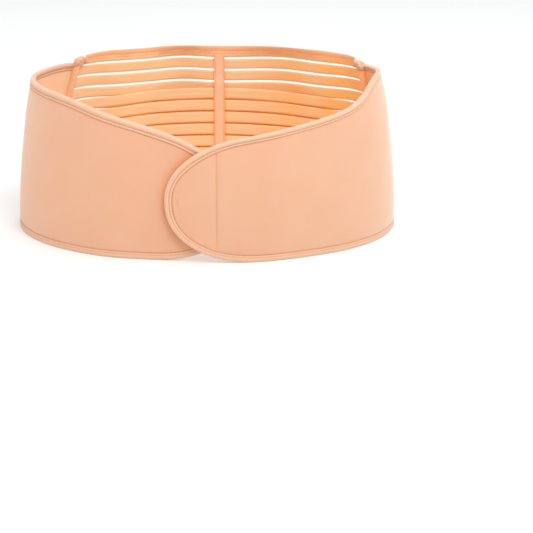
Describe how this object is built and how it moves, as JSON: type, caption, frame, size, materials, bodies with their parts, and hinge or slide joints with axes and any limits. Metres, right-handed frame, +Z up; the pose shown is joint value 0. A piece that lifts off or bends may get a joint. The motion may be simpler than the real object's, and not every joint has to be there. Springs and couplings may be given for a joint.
{
  "type": "hip support belt",
  "caption": "Closed hip support belt: two padded cloth panels lapped at the front, bound edges, and a back of flat elastic bands; it stands on its lower edge.",
  "frame": {"origin": "on the floor under the middle of the belt's box", "axes": "+Z up, the lapped front faces -Y, +X to the right of a viewer who faces the front"},
  "size_m": [0.3525, 0.2243, 0.1534],
  "materials": {
    "panel_cloth": "matt peach laminated cloth with a fine nap",
    "binding_cloth": "stretch binding tape, softly ribbed, with a sewn line",
    "band_elastic": "woven elastic band, finely ribbed along its length",
    "tape_cloth": "plain woven tape with two sewn lines",
    "hook_tape": "plain hook tape, hidden between the laps"
  },
  "bodies": {
    "root": {"left_panel": "panel_cloth", "right_panel": "panel_cloth", "left_binding": "binding_cloth", "right_binding": "binding_cloth", "back_top_binding": "binding_cloth", "back_bottom_binding": "binding_cloth", "left_joint_fold_1": "binding_cloth", "left_joint_fold_2": "binding_cloth", "right_joint_fold_1": "binding_cloth", "right_joint_fold_2": "binding_cloth", "outer_band_00": "band_elastic", "outer_band_01": "band_elastic", "outer_band_02": "band_elastic", "outer_band_03": "band_elastic", "outer_band_04": "band_elastic", "outer_band_05": "band_elastic", "outer_band_06": "band_elastic", "outer_band_07": "band_elastic", "outer_band_08": "band_elastic", "outer_band_09": "band_elastic", "outer_band_10": "band_elastic", "outer_band_11": "band_elastic", "outer_band_12": "band_elastic", "inner_band_04": "band_elastic", "inner_band_05": "band_elastic", "inner_band_06": "band_elastic", "inner_band_07": "band_elastic", "inner_band_08": "band_elastic", "inner_band_09": "band_elastic", "inner_band_10": "band_elastic", "inner_band_11": "band_elastic", "inner_band_12": "band_elastic", "centre_tape": "tape_cloth", "left_joint_tape": "tape_cloth", "right_joint_tape": "tape_cloth", "hook_patch": "hook_tape"}
  },
  "joints": []
}
